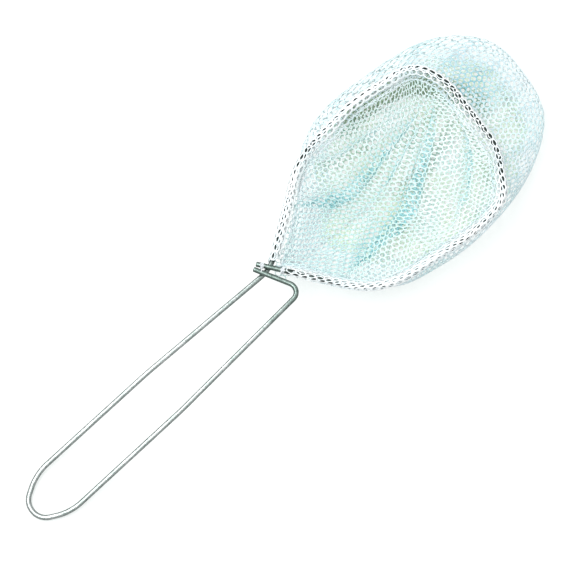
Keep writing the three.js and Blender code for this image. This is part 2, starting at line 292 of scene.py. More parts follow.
def noise(tree, place, scale, detail, roughness=0.5):
    """The value of a noise that is laid over places."""
    wanted = {"Vector": place, "Scale": scale, "Detail": detail, "Roughness": roughness}
    return node(tree, "ShaderNodeTexNoise", wanted).outputs["Fac"]


def spread(tree, value, start, end, low=0.0, high=1.0, shape="LINEAR"):
    """A value carried over from start ... end to low ... high."""
    wanted = {"Value": value, "From Min": start, "From Max": end, "To Min": low, "To Max": high}
    return node(tree, "ShaderNodeMapRange", wanted, interpolation_type=shape).outputs["Result"]


def worked(tree, operation, first, second, **settings):
    """Two values put through one sum."""
    made = node(tree, "ShaderNodeMath", {0: first, 1: second}, operation=operation, **settings)
    return made.outputs["Value"]


def bump(tree, height, strength, distance):
    """The normal of a surface with a fine relief."""
    wanted = {"Height": height, "Strength": strength, "Distance": distance}
    return node(tree, "ShaderNodeBump", wanted).outputs["Normal"]


def blend_colour(tree, factor, first, second, mode="MIX"):
    """Two colours mixed by a factor."""
    mix = node(tree, "ShaderNodeMix", data_type="RGBA", blend_type=mode)
    for index, value in ((0, factor), (6, first), (7, second)):
        if isinstance(value, bpy.types.NodeSocket):
            tree.links.new(value, mix.inputs[index])
        else:
            mix.inputs[index].default_value = (*value, 1) if isinstance(value, tuple) else value
    return mix.outputs[2]


def zinc_material():
    """Hot-dipped zinc on drawn wire: pale spangles, dull oxide clouds, fine lines along the wire
    where it was drawn and handled, and darker grime in specks. Under the hem the zinc is darkened
    with painted shade, for the shadow that the cloth over it casts."""
    made, tree, shader = material_of("dull_galvanised_wire", IOR=1.5, Metallic=0.9)
    shader.inputs["Specular Tint"].default_value = (*tone(0.16, 0.22, 0.20), 1)
    place = node(tree, "ShaderNodeTexCoord").outputs["Object"]
    run = node(tree, "ShaderNodeUVMap", uv_map="run").outputs["UV"]
    spangle = node(tree, "ShaderNodeTexVoronoi", {"Vector": place, "Scale": 420.0, "Randomness": 1.0})
    cloud = noise(tree, place, 95.0, 6.0, 0.62)
    stretch = node(tree, "ShaderNodeMapping", {"Vector": run, "Scale": (0.09, 4.2, 1.0)})
    lines = noise(tree, stretch.outputs["Vector"], 1.0, 5.0)
    speck = noise(tree, place, 900.0, 3.0, 0.7)
    flake = ramp(
        tree, spangle.outputs["Color"], [(0.25, tone(0.74, 0.78, 0.77)), (0.8, tone(0.86, 0.88, 0.88))]
    )
    oxide = ramp(tree, cloud, [(0.38, tone(0.64, 0.70, 0.68)), (0.66, tone(0.88, 0.90, 0.90))])
    colour = blend_colour(tree, 0.55, flake, oxide)
    grime = ramp(tree, speck, [(0.36, (0.45, 0.50, 0.48)), (0.5, (1.0, 1.0, 1.0))])
    colour = blend_colour(tree, 0.7, colour, grime, "MULTIPLY")
    drawn = ramp(tree, lines, [(0.4, (0.72, 0.74, 0.73)), (0.6, (1.0, 1.0, 1.0))])
    colour = blend_colour(tree, 0.6, colour, drawn, "MULTIPLY")
    distance = node(tree, "ShaderNodeSeparateXYZ", {"Vector": run}).outputs["X"]
    # Painted shade: the wire is darkened along the run that the hem covers.
    under_hem = [
        spread(tree, distance, start, start + step, shape="SMOOTHSTEP")
        for start, step in ((HEM_FROM - 1, 4), (HEM_TO + 1, -4))
    ]
    hem_painted_shade = blend_colour(tree, 1.0, colour, tone(0.42, 0.45, 0.44), "MULTIPLY")
    colour = blend_colour(tree, worked(tree, "MULTIPLY", *under_hem), colour, hem_painted_shade)
    whole = wire_run[-1]
    throat = ramp(
        tree, worked(tree, "DIVIDE", distance, whole),
        [
            (0.0, (1, 1, 1)),
            (HEM_FROM / whole, (1, 1, 1)),
            ((HEM_FROM + 4) / whole, (0, 0, 0)),
            ((HEM_TO - 4) / whole, (0, 0, 0)),
            (HEM_TO / whole, (0.8, 0.8, 0.8)),
            ((HEM_TO + THROAT_TINT_REACH) / whole, (0.0, 0.0, 0.0)),
            ((whole - CROSSBAR_RUN) / whole, (0.0, 0.0, 0.0)),
            ((whole - BRIGHT_RUN) / whole, (1, 1, 1)),
        ],
    )
    throat_tint = blend_colour(tree, 1.0, colour, tone(0.73, 0.78, 0.76), "MULTIPLY")
    colour = blend_colour(tree, throat, colour, throat_tint)
    tree.links.new(colour, shader.inputs["Base Color"])
    tree.links.new(spread(tree, cloud, 0.3, 0.7, 0.34, 0.18), shader.inputs["Roughness"])
    relief = blend_colour(tree, 0.5, cloud, lines)
    tree.links.new(bump(tree, relief, 0.35, 0.0002), shader.inputs["Normal"])
    return made


def sheared_rod(path, radius, sides, bevel, up):
    """Rings of a cut rod, with a small bevel turned on each end."""
    run = run_of(path)
    inner = (run > bevel) & (run < run[-1] - bevel)
    at = np.concatenate([[0, bevel], run[inner], [run[-1] - bevel, run[-1]]])
    line = np.stack([np.interp(at, run, path[:, k]) for k in range(3)], axis=1)
    radii = np.full(len(line), radius)
    radii[[0, -1]] = radius - bevel
    return rings_along(line, radii, sides, up)


WIRE_SPACING = 1.0
WIRE_SIDES = 24
CUT_BEVEL = 0.3
flat_wire = wire_line(WIRE_SPACING)
wire_run = run_of(flat_wire)
past_hoop = wire_run > HOOP_LENGTH
at_weld = np.argmin(np.linalg.norm(flat_wire[past_hoop, :2] - HOOP_WELD, axis=1))
HEM_FROM = HOOP_STUB + BARE_RIGHT
HEM_TO = wire_run[past_hoop][at_weld] - BARE_LEFT
laid_wire = laid_down(flat_wire)
wire_rings = sheared_rod(laid_wire, WIRE_RADIUS, WIRE_SIDES, CUT_BEVEL, FRAME_UP)
wire_low = np.array(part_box("wire_frame")[0]) / MM
# How far the frame lies from the middle of the whole net, from the wire's own box.
PLACE = np.append((wire_low - wire_rings.reshape(-1, 3).min(0))[:2], 0.0)
wire_points, wire_faces = skin(wire_rings)
zinc = zinc_material()
wire = new_piece("wire", wire_points, wire_faces, run_uvs(wire_rings, wire_faces))
wire.data.materials.append(zinc)
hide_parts("wire_frame")
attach(wire, "root")

# Throat welds. Two resistance welds, where the crossing ends were pressed into the wire under
# them until the metal ran: a squashed bead in each crossing, with a rough lip round it.
WELD_REACH = (2.1, 1.5, 1.15)


def weld_rings(centre, along, lumps):
    """A flattened bead: an ellipsoid whose radius swells by a few percent in soft lumps."""
    rows, sides = 17, 24
    tip = np.linspace(0.04, math.pi - 0.04, rows)[:, None]
    around = np.linspace(0, 2 * math.pi, sides, endpoint=False)[None, :]
    swell = 1 + 0.07 * np.sin(3 * around + lumps) * np.sin(tip) + 0.05 * np.sin(5 * around - 2 * lumps)
    across = unit(np.cross(FRAME_UP, along))
    a, b, c = WELD_REACH
    return (
        centre
        + (swell * a * np.sin(tip) * np.cos(around))[..., None] * along
        + (swell * b * np.sin(tip) * np.sin(around))[..., None] * across
        + (c * np.cos(tip) + 0 * around)[..., None] * FRAME_UP
    )


for name, weld, turn in (("weld_hoop", HOOP_WELD, 0.4), ("weld_handle", HANDLE_WELD, 1.9)):
    centre = laid_down(np.array([*weld, WELD_LIFT / 2]))
    way = unit(laid_down(np.array([weld[0] + 1, weld[1] - 1.6, 0])) - laid_down(np.array([*weld, 0])))
    rings = weld_rings(centre, way, turn)
    points, faces = skin(rings)
    bead = new_piece(name, points, faces, run_uvs(rings, faces))
    bead.data.materials.append(zinc)
    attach(bead, "root")

# Mesh cloth. The bag is knitted in small six-sided holes from fine white polyester thread. Each
# strand here is a rounded bar between two holes, and the holes close round a knot at each joint.
PITCH = 4.2
STRAND_WIDTH = 0.62
STRAND_DEPTH = 0.52
# Where the rows are drawn flat: what their strands gain in width, what those between them lose,
# and what the rows gain in shade at a cell's tips and at its sides.
ROW_GAIN = 0.5
UPRIGHT_LOSS = 0.78
TIP_SHADE = 0.7
SIDE_SHADE = 0.28
# How sharp a joint may be before its knot stops growing, and how far a knot may fill a hole.
SHARPEST = 0.45
HOLE_FILL = 0.72


def ring_of(top, foot):
    """Values at the six corners of every cell, in order round it, from those at the upper and the
    lower tip of each place of the lattice."""
    return np.stack(
        [
            top,
            np.roll(foot, (1, -1), (0, 1)),
            np.roll(top, (0, 1), (0, 1)),
            foot,
            np.roll(top, (-1, 1), (0, 1)),
            np.roll(foot, (0, -1), (0, 1)),
        ]
    )


def joint_normal(middle, around, ways):
    """The cloth's own normal at each joint: the sum of the cross products of its three strands."""
    spokes = [unit(np.roll(around, way, (0, 1)) - middle) for way in ways]
    return unit(sum(np.cross(spokes[k], spokes[(k + 1) % 3]) for k in range(3)))


def knit(name, place, corner_low, corner_high, turn=0.0, pitch=PITCH, width=STRAND_WIDTH,
         depth=STRAND_DEPTH, flatten=None):
    """A knitted sheet. Its cells are six-sided and lie in rows on the flat cloth, whose points
    place() carries into the laid-down frame. A hole's corner lies at corner + (width of the strand
    before / 2 x way after + width of the strand after / 2 x way before) / sin(angle between them),
    raised and lowered by half the strand's depth along the cloth's own normal. Where the rows are
    drawn flat, the strands along them swell and deepen in shade, and those between thin out."""
    low, high = np.array(corner_low, float), np.array(corner_high, float)
    middle = (low + high) / 2
    reach = np.linalg.norm(high - low) / 2 if turn else 0
    half = np.array([reach, reach]) if turn else (high - low) / 2
    rows = int(half[1] / (pitch * math.sqrt(3) / 2)) + 3
    columns = int(half[0] / pitch) + 3 + rows // 2
    i, j = np.meshgrid(np.arange(-columns, columns + 1), np.arange(-rows, rows + 1), indexing="ij")
    x = pitch * (i + j / 2)
    y = pitch * math.sqrt(3) / 2 * j
    tip = pitch / math.sqrt(3)
    flat = np.stack([np.stack([x, y + tip], -1), np.stack([x, y - tip], -1)])
    cos, sin = math.cos(turn), math.sin(turn)
    flat = flat @ np.array([[cos, sin], [-sin, cos]]) + middle
    pull = np.zeros(flat.shape[:3])
    if flatten is not None:
        way = np.array([-sin, cos])
        pull = flatten(flat.reshape(-1, 2)).reshape(flat.shape[:3])
        flat = flat - (np.array([1.0, -1.0])[:, None, None] * tip / 4 * pull)[..., None] * way
    thick = width(flat.reshape(-1, 2)) if callable(width) else np.full(flat[..., 0].size, width)
    thick = thick.reshape(flat.shape[:3])
    spots, inside, marks = place(flat.reshape(-1, 2))
    spots = spots.reshape(*flat.shape[:3], 3)
    inside = inside.reshape(flat.shape[:3])
    marks = marks.reshape(flat.shape[:3])
    top, foot = spots
    corners = ring_of(top, foot)
    present = ring_of(inside[0], inside[1]).all(0)
    present[:2] = present[-2:] = False
    present[:, :2] = present[:, -2:] = False
    top_normal = joint_normal(top, foot, ((0, -1), (1, -2), (1, -1)))
    foot_normal = joint_normal(foot, top, ((0, 1), (-1, 2), (-1, 1)))
    normals = ring_of(top_normal, foot_normal)
    before = unit(np.roll(corners, 1, 0) - corners)
    after = unit(np.roll(corners, -1, 0) - corners)
    opening = np.maximum(np.linalg.norm(np.cross(before, after), axis=-1, keepdims=True), SHARPEST)
    thick = ring_of(thick[0], thick[1])[..., None]
    drawn = ring_of(pull[0], pull[1])[..., None]
    upright = np.array([False, True, False, False, True, False]).reshape(6, 1, 1, 1)
    loss, gain = 1 - UPRIGHT_LOSS * drawn, 1 + ROW_GAIN * drawn
    after_width = thick * np.where(upright, loss, gain)
    before_width = thick * np.where(np.roll(upright, 1, 0), loss, gain)
    step = (before_width * after + after_width * before) / 2 / opening
    to_middle = np.linalg.norm(corners.mean(0) - corners, axis=-1, keepdims=True)
    step_length = np.maximum(np.linalg.norm(step, axis=-1, keepdims=True), 1e-9)
    step *= np.minimum(1, HOLE_FILL * to_middle / step_length)
    holes = corners + step
    points = np.stack([holes + normals * depth / 2, holes - normals * depth / 2])
    row_shade = np.full((6, 1, 1), SIDE_SHADE)
    row_shade[[0, 3]] = TIP_SHADE
    shades = np.minimum(ring_of(marks[0], marks[1]) + row_shade * drawn[..., 0], 1)
    shades = np.stack([shades, shades])
    numbers = np.arange(points[..., 0].size).reshape(points.shape[:-1])

    near = {
        "left": ((1, -1), (0, 1)),
        "right": ((0, -1), (0, 1)),
        "beside": ((-1, 0), (0, 1)),
        "under_left": ((0, 1), (0, 1)),
        "under_right": ((-1, 1), (0, 1)),
    }
    strands = (("left", (0, 1), (4, 3)), ("right", (5, 0), (3, 2)), ("beside", (4, 5), (2, 1)))
    joints = (
        ((None, 0), ("right", 2), ("left", 4)),
        ((None, 3), ("under_left", 5), ("under_right", 1)),
    )

    def taken(values, way):
        """The values of each cell's neighbour that way."""
        return np.roll(values, *near[way]) if way else values

    faces = []
    for way, (a, b), (c, d) in strands:
        shown = present | taken(present, way)
        upper = [numbers[0, b], numbers[0, a], taken(numbers[0, c], way), taken(numbers[0, d], way)]
        lower = [numbers[1, b], numbers[1, a], taken(numbers[1, c], way), taken(numbers[1, d], way)]
        faces.append(np.stack(upper, -1)[shown])
        faces.append(np.stack(lower[::-1], -1)[shown])
        faces.append(np.stack([upper[1], upper[0], lower[0], lower[1]], -1)[shown])
        faces.append(np.stack([upper[3], upper[2], lower[2], lower[3]], -1)[shown])
    for cells in joints:
        there = [taken(present, way) for way, k in cells]
        shown = there[0] | there[1] | there[2]
        upper = [taken(numbers[0, k], way) for way, k in cells]
        lower = [taken(numbers[1, k], way) for way, k in cells]
        faces.append(np.stack(upper, -1)[shown])
        faces.append(np.stack(lower[::-1], -1)[shown])
        for k in range(3):
            m = (k + 1) % 3
            cut = shown & ~there[k] & ~there[m]
            faces.append(np.stack([upper[m], upper[k], lower[k], lower[m]], -1)[cut])
    used, order = np.unique(np.concatenate([face.ravel() for face in faces]), return_inverse=True)
    sizes = np.cumsum([0] + [face.size for face in faces])
    faces = [
        order[sizes[k]:sizes[k + 1]].reshape(face.shape) for k, face in enumerate(faces) if face.size
    ]
    piece = new_piece(name, points.reshape(-1, 3)[used], faces, marks={"shade": shades.ravel()[used]})
    round_off = piece.modifiers.new("round", "SUBSURF")
    round_off.levels = round_off.render_levels = 1
    return piece


def thread_shading():
    """What every cut of the mesh shares. Slow clouds of noise lead from the pale colour to the
    ground colour. The cloth's shade mark, times a finer noise, leads on to the deep colour, and
    the finest noise darkens the gaps between fibres."""
    group = bpy.data.node_groups.new("knitted_thread", "ShaderNodeTree")
    for label in ("Pale", "Deep", "Ground"):
        group.interface.new_socket(label, in_out="INPUT", socket_type="NodeSocketColor")
    group.interface.new_socket("Color", in_out="OUTPUT", socket_type="NodeSocketColor")
    group.interface.new_socket("Fibre", in_out="OUTPUT", socket_type="NodeSocketFloat")
    given = node(group, "NodeGroupInput").outputs
    place = node(group, "ShaderNodeTexCoord").outputs["Object"]
    shade = node(group, "ShaderNodeAttribute", attribute_name="shade").outputs["Fac"]
    cloud = noise(group, place, 38.0, 3.0)
    fleck = noise(group, place, 210.0, 2.0)
    fibre = noise(group, place, 2600.0, 2.0, 0.7)
    patch = blend_colour(group, spread(group, cloud, 0.36, 0.66), given["Pale"], given["Ground"])
    uneven = spread(group, fleck, 0.35, 0.65, 0.7, 1.15)
    depth = worked(group, "MULTIPLY", shade, uneven, use_clamp=True)
    colour = blend_colour(group, depth, patch, given["Deep"])
    gaps = ramp(group, fibre, [(0.3, (0.86, 0.88, 0.88)), (0.6, (1.0, 1.0, 1.0))])
    colour = blend_colour(group, 0.6, colour, gaps, "MULTIPLY")
    node(group, "NodeGroupOutput", {"Color": colour, "Fibre": fibre})
    return group


knitted_thread = thread_shading()


def cloth_material(name, pale, deep, ground):
    """Fine textured polyester thread, in the three colours of one part of the bag."""
    made, tree, shader = material_of(
        name, Roughness=0.62, IOR=1.46, Sheen_Weight=0.25, Sheen_Roughness=0.4
    )
    colours = {"Pale": (*pale, 1), "Deep": (*deep, 1), "Ground": (*ground, 1)}
    thread = node(tree, "ShaderNodeGroup", colours, node_tree=knitted_thread).outputs
    tree.links.new(thread["Color"], shader.inputs["Base Color"])
    tree.links.new(bump(tree, thread["Fibre"], 0.4, 0.00012), shader.inputs["Normal"])
    return made


# Hem. The bag's top edge is turned in, folded over the hoop's wire and sewn to itself just
# inside it, so two plies of cloth lie round the wire and it shows as dark dashes through them.
HEM_LEAN = 5.2
HEM_DEPTH = 4.4
HEM_PITCH = 3.7
HEM_STRAND = 0.5
# The hem's cloth is drawn out along the wire, so its holes are longer than they are wide.
HEM_DRAWN = 1.4
# How far the mesh is crowded shut over the wire, at shares of the hem's length from its right end.
HEM_CLOSED_AT = (0.0, 0.05, 0.1, 0.2, 0.27, 0.33, 0.42, 0.56, 0.62, 0.68, 0.76, 0.82, 0.86, 0.93, 1.0)
HEM_CLOSED = (-0.1, -0.1, 1.4, 3.0, 1.6, 2.2, -0.1, -0.1, 1.8, 3.0, 2.4, 0.2, 2.8, 1.8, 1.0)
PLY_INNER = WIRE_RADIUS + 0.45
PLY_OUTER = PLY_INNER + 0.68
HEM_COUNT = 240

hem_at = np.linspace(HEM_FROM, HEM_TO, HEM_COUNT)
hem_line = np.stack([np.interp(hem_at, wire_run, flat_wire[:, k]) for k in range(3)], axis=1)
HEM_LENGTH = HEM_TO - HEM_FROM


def outward_of(line, closed):
    """The way out of the hoop at each point of a line round it, square to the line."""
    ahead = np.roll(line, -1, 0) - np.roll(line, 1, 0) if closed else np.gradient(line, axis=0)
    return unit(np.stack([ahead[:, 1], -ahead[:, 0], 0 * ahead[:, 0]], -1))


def between(table, place):
    """Rows of a table at fractional places, found between neighbouring rows."""
    place = np.clip(place, 0, len(table) - 1.0001)
    low = np.floor(place).astype(int)
    share = (place - low)[:, None]
    return table[low] * (1 - share) + table[low + 1] * share


hem_out = outward_of(hem_line, False)


def belt_round(wrap, depth, lean):
    """The belt round the wire seen along it: from the line of stitches up one tangent, round the
    wire and back along the other tangent, as points (outwards, up, 0)."""
    foot = np.array([-lean, -depth])
    far = np.linalg.norm(foot)
    toward = math.atan2(foot[1], foot[0])
    open_angle = math.acos(wrap / far)
    arc = np.linspace(toward - open_angle, toward + open_angle - 2 * math.pi, 40)
    belt = wrap * np.stack([np.cos(arc), np.sin(arc)], -1)
    part = np.array([0.12, 0.45]) * wrap / PLY_INNER
    line = np.vstack([foot + part, belt, foot - part])
    return np.column_stack([line, np.zeros(len(line))])


def hem_wander(along, wave=0.0):
    """How far the hem's foot wanders in and out along the wire: the sum of two sines."""
    return 0.7 * np.sin(along / 9.0 + wave) + 0.5 * np.sin(along / 4.1 + 1.3 + wave)


def hem_ply(wrap, wave, cut):
    """The place of one ply's cloth points (along the wire, round the belt). Drawn out along the
    wire, the ply creeps along it by the sum of two sines, and its foot wanders in and out and
    rises and falls. Its edges are cut at two shares of the way round."""
    belt = belt_round(wrap, HEM_DEPTH, HEM_LEAN)
    belt_run = run_of(belt)

    def place(flat):
        along, across = HEM_DRAWN * flat[:, 0], flat[:, 1]
        creep = 1.0 * np.sin(along / 17 + wave) + 0.7 * np.sin(along / 5.9 + 0.5 * across + 2 * wave)
        at = (along + creep) / HEM_LENGTH * (HEM_COUNT - 1)
        base = between(hem_line, at)
        out = between(hem_out, at)
        section = np.stack([np.interp(across, belt_run, belt[:, k]) for k in range(2)], -1)
        below = np.clip(-section[:, 1] / HEM_DEPTH, 0, 1)
        section[:, 0] += below * hem_wander(along, wave)
        section[:, 1] += below * 0.5 * np.sin(along / 6.3 + 0.7 + wave)
        points = base + out * section[:, :1] + np.array([0, 0, 1.0]) * section[:, 1:]
        kept = (across > cut[0] * belt_run[-1]) & (across < cut[1] * belt_run[-1])
        inside = (along > 0) & (along < HEM_LENGTH) & kept
        return laid_down(points), inside, 0.1 + 0.1 * np.sin(along / 13 + wave)

    return place, belt_run[-1]


def hem_strand(flat):
    """Thread width along the hem: the gathers close up in some places and stretch open in others,
    as width x (0.85 + 0.75 x closed), with a small sine on top."""
    along = HEM_DRAWN * flat[:, 0] / HEM_LENGTH
    closed = np.interp(along, HEM_CLOSED_AT, HEM_CLOSED)
    return HEM_STRAND * (0.85 + 0.75 * closed + 0.12 * np.sin(flat[:, 0] / 3.3))


hem_cloth = cloth_material(
    "mesh_cloth_hem", tone(0.99, 1.0, 1.0), tone(0.74, 0.89, 0.92), tone(0.96, 0.99, 1.0)
)
for name, wrap, wave, cut in (
    ("net_hem", PLY_OUTER, 0.0, (0.0, 1.0)),
    ("net_hem_turned_in", PLY_INNER, 2.1, (0.3, 0.85)),
):
    place, around = hem_ply(wrap, wave, cut)
    ply = knit(
        name, place, (-4, -2 - wave), (HEM_LENGTH / HEM_DRAWN + 4, around + 2),
        pitch=HEM_PITCH, width=hem_strand, depth=HEM_STRAND,
    )
    ply.data.materials.append(hem_cloth)
    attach(ply, "root")

# Bag wall. From the hem the cloth drops outside the hoop, slumps forward and to one side past
# it, turns under and runs in along the table.
SLUMP_FORWARD = 56.0
SLUMP_ASIDE = 18.0
SLUMP_START = 105.0
ASIDE_START = 30.0
BULGE_SHARE = 0.42
THROAT_DRAW = 14.0
THROAT_DRAW_LENGTH = 85.0
FLOOR_SHARE = 0.91
TUCK = 10.0
RIM_COUNT = 256
FAR_CORNER_SHARE = 0.86
SHOULDER_REACH = 0.2
SHOULDER_RISE = 0.62
GATHER_DEPTH = 0.8
# Past the hoop's far corner the wall carries a patch of painted shade: middle in plan, and reach.
WALL_SHADE_PATCH = (367.0, 18.0, 17.0)


def smooth(value, start, end):
    """Rises from 0 at start to 1 at end, level at both."""
    share = np.clip((value - start) / (end - start), 0, 1)
    return share * share * (3 - 2 * share)


def eased(ring, reach):
    """A closed ring with its kinks eased: each point becomes a bell-weighted mean of those near."""
    offsets = np.arange(-3 * reach, 3 * reach + 1)
    weights = np.exp(-0.5 * (offsets / reach) ** 2)
    return sum(w * np.roll(ring, k, 0) for w, k in zip(weights / weights.sum(), offsets))


across_throat = np.linspace(hem_line[-1], hem_line[0], 8)[1:-1] + np.array([-3.5, 0, 1.0])
rim = np.vstack([hem_line, across_throat])
rim = evened(np.vstack([rim, rim[:1]]), run_of(np.vstack([rim, rim[:1]]))[-1] / RIM_COUNT)[:-1]
rim_out = outward_of(rim, True)
RIM_LENGTH = run_of(np.vstack([rim, rim[:1]]))[-1]
stitch_line = laid_down(rim - rim_out * HEM_LEAN - np.array([0, 0, HEM_DEPTH]))


def slumped(points):
    """Where the rim's points lie in plan once the bag has slumped forwards and aside."""
    past = points[:, 0] - HANDLE_LENGTH
    forward = SLUMP_FORWARD * smooth(past, SLUMP_START, HOOP_LENGTH)
    drawn = THROAT_DRAW * (1 - smooth(past, 0, THROAT_DRAW_LENGTH))
    aside = SLUMP_ASIDE * smooth(points[:, 1], 0, HOOP_WIDTH / 2)
    aside = aside * smooth(past, ASIDE_START, SLUMP_START)
    aside = aside * (1 - smooth(past, FAR_CORNER_SHARE * HOOP_LENGTH, HOOP_LENGTH))
    return points + np.stack([forward + drawn, aside, 0 * past], -1)


widest = eased(slumped(laid_down(rim)), 5)
widest[:, 2] = BULGE_SHARE * stitch_line[:, 2]
bag_middle = (widest.min(0) + widest.max(0)) / 2
drawn_in = THROAT_DRAW * (1 - smooth(widest[:, 0] - HANDLE_LENGTH, THROAT_DRAW, THROAT_DRAW_LENGTH))
floor_edge = bag_middle + (widest - bag_middle) * FLOOR_SHARE
floor_edge[:, 0] += drawn_in
floor_edge[:, 2] = STRAND_DEPTH


def bowed(start, pull, end, shares):
    """Rings along quadratic curves from start to end, drawn towards pull."""
    t = np.asarray(shares)[:, None, None]
    return (1 - t) ** 2 * start + 2 * t * (1 - t) * pull + t ** 2 * end


shoulder = widest + SHOULDER_REACH * (stitch_line - widest)
shoulder[:, 2] = widest[:, 2] + SHOULDER_RISE * (stitch_line[:, 2] - widest[:, 2])
turned = widest.copy()
turned[:, 2] = STRAND_DEPTH
tucked = floor_edge + unit((bag_middle - floor_edge) * [1, 1, 0]) * TUCK
wall_grid = np.concatenate(
    [
        bowed(stitch_line, shoulder, widest, np.linspace(0, 1, 15)),
        bowed(widest, turned, floor_edge, np.linspace(0, 1, 9)[1:]),
        bowed(floor_edge, (floor_edge + tucked) / 2, tucked, np.linspace(0, 1, 4)[1:]),
    ]
)


def walk_down(grid, columns, down):
    """Points a distance down the grid's columns, found between neighbouring columns and rings,
    and the length of the column at each."""
    low = np.floor(columns).astype(int)
    share = (columns - low)[None, :, None]
    count = grid.shape[1]
    lines = grid[:, low % count] * (1 - share) + grid[:, (low + 1) % count] * share
    steps = np.linalg.norm(np.diff(lines, axis=0), axis=2)
    run = np.vstack([np.zeros(len(down)), np.cumsum(steps, axis=0)])
    each = np.arange(len(down))
    k = np.clip((run <= down).sum(0) - 1, 0, len(steps) - 1)
    at = ((down - run[k, each]) / steps[k, each])[:, None]
    return lines[k, each] * (1 - at) + lines[k + 1, each] * at, run[-1]


def wall_place(flat):
    """Cloth points (round the rim, down the wall) to the laid-down frame, with soft gathers that
    run down the wall and deepen away from the hem."""
    columns = flat[:, 0] / RIM_LENGTH * RIM_COUNT
    points, reach = walk_down(wall_grid, columns, flat[:, 1])
    out = between(np.vstack([rim_out, rim_out[:1]]), columns % RIM_COUNT)
    around = flat[:, 0] / RIM_LENGTH * 2 * math.pi
    gather = np.sin(23 * around + 0.8) + 0.7 * np.sin(37 * around + 2.0 * np.sin(2 * around))
    lowest = between(np.append(widest[:, 2], widest[0, 2])[:, None], columns % RIM_COUNT)[:, 0]
    fade = smooth(flat[:, 1], 1, 12) * smooth(points[:, 2], lowest + 0.5, lowest + 8)
    points = points + out * (GATHER_DEPTH * gather * fade)[:, None]
    inside = (flat[:, 0] > 0) & (flat[:, 0] < RIM_LENGTH + PITCH)
    inside &= (flat[:, 1] > -2) & (flat[:, 1] < reach)
    # Painted shade: on the gathers' outward crests, and deep in a patch past the hoop's far corner.
    from_shade_patch = np.linalg.norm(points[:, :2] - WALL_SHADE_PATCH[:2], axis=1) / WALL_SHADE_PATCH[2]
    shade = 0.3 * np.clip(gather, 0, 1) * fade + 0.95 * np.exp(-from_shade_patch ** 2)
    return points, inside, shade


bag_cloth = cloth_material(
    "mesh_cloth_bag", tone(0.93, 0.98, 1.0), tone(0.54, 0.76, 0.81), tone(0.86, 0.96, 0.97)
)
wall_depths = np.linalg.norm(np.diff(wall_grid, axis=0), axis=2).sum(0)
longest = wall_depths.max()
wall = knit("net_wall", wall_place, (-4, -4), (RIM_LENGTH + 8, longest + 4))
wall.data.materials.append(bag_cloth)
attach(wall, "root")
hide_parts("net_bag")

# Bag floor. The bottom of the bag lies slack on the table in low waves, with its edge turned up
# into the wall's tucked edge.
floor_ring = floor_edge[:, :2]
FLOOR_PITCH = 3.3
FLOOR_WAVE = 0.9
# The line under the left arm and the far corner where the floor lies in the deep shade of the bag.
SHADED_LINE = (
    (298, 59), (311, 59.5), (322, 59.5), (334, 57.5), (346, 53.5),
    (354, 48), (360, 40), (365, 28), (370, 12),
)
# Narrow lines between the folds, where one layer of the slack lies over the shaded floor.
OPEN_LINES = (
    ((358, 26), (343, 24), (329, 23), (320, 20)),
    ((355, 14), (334, 7), (318, 2), (309, 3), (291, -1)),
    ((239, 38), (250, 38), (262, 52), (270, 47), (279, 41), (289, 40), (301, 37)),
    ((353, 3), (347, -18), (338, -32)),
)


def dotted(line):
    """A line's corners and five points between each two of them."""
    corners = np.array(line, float)
    return np.concatenate([np.linspace(a, b, 7) for a, b in zip(corners, corners[1:])])


def inside_ring(points, ring):
    """Whether each plan point lies inside a closed ring, by counting the edges that a line to one
    side crosses, and its distance from the ring."""
    a, b = ring, np.roll(ring, -1, 0)
    px, py = points[:, :1], points[:, 1:2]
    crosses = (a[:, 1] > py) != (b[:, 1] > py)
    rise = np.where(b[:, 1] == a[:, 1], 1e-9, b[:, 1] - a[:, 1])
    at = a[:, 0] + (py - a[:, 1]) / rise * (b[:, 0] - a[:, 0])
    within = (crosses & (px < at)).sum(1) % 2 == 1
    away = np.linalg.norm(points[:, None] - a[None], axis=2).min(1)
    return within, away


def floor_place(flat):
    """Cloth points in plan to low waves on the table: the product of two crossing sines."""
    within, away = inside_ring(flat, floor_ring)
    crossing = np.sin(flat[:, 0] / 8.5 + 0.12 * flat[:, 1]) * np.sin(flat[:, 1] / 6.0 + 1.0)
    waves = FLOOR_WAVE * (1 + crossing)
    height = STRAND_DEPTH * 0.55 + waves * smooth(away, 0, 12)
    near = np.linalg.norm(flat[:, None] - dotted(SHADED_LINE)[None], axis=2).min(1)
    shade = 0.9 * (1 - smooth(near, 6, 13))
    for line in OPEN_LINES:
        near = np.linalg.norm(flat[:, None] - dotted(line)[None], axis=2).min(1)
        shade = np.maximum(shade, 0.55 * (1 - smooth(near, 1.5, 6)))
    return np.column_stack([flat, height]), within, shade


floor_cloth = cloth_material(
    "mesh_cloth_under", tone(0.86, 0.97, 0.95), tone(0.50, 0.68, 0.60), tone(0.92, 0.99, 0.88)
)
low_corner, high_corner = floor_ring.min(0), floor_ring.max(0)
floor = knit(
    "net_floor", floor_place, low_corner, high_corner, turn=math.radians(-27), pitch=FLOOR_PITCH
)
floor.data.materials.append(floor_cloth)
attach(floor, "root")

# Tuck. Under the left arm and the far corner the bag's spare cloth is crammed between wall and
# floor. Its crowded meshes, coloured dark olive as painted shade, show through the open ones above.
TUCK_PITCH = 2.5
TUCK_WIDTH = 20.0
TUCK_HEIGHT = 3.4
TUCK_WAVE = 0.4
TUCK_STRAND = 1.0
TUCK_LINE = (
    (290, 57), (306, 59), (322, 59), (336, 57), (347, 52), (355, 46), (361, 37), (365, 27), (369, 12),
)
TUCK_EASE = 17

tuck_line = evened(np.column_stack([np.array(TUCK_LINE, float), np.zeros(len(TUCK_LINE))]), 1.0)
eased_count = len(tuck_line) - TUCK_EASE + 1
tuck_line = sum(tuck_line[k:eased_count + k] / TUCK_EASE for k in range(TUCK_EASE))
tuck_side = unit(np.cross(np.gradient(tuck_line, axis=0), [0, 0, 1.0]))
tuck_length = run_of(tuck_line)[-1]


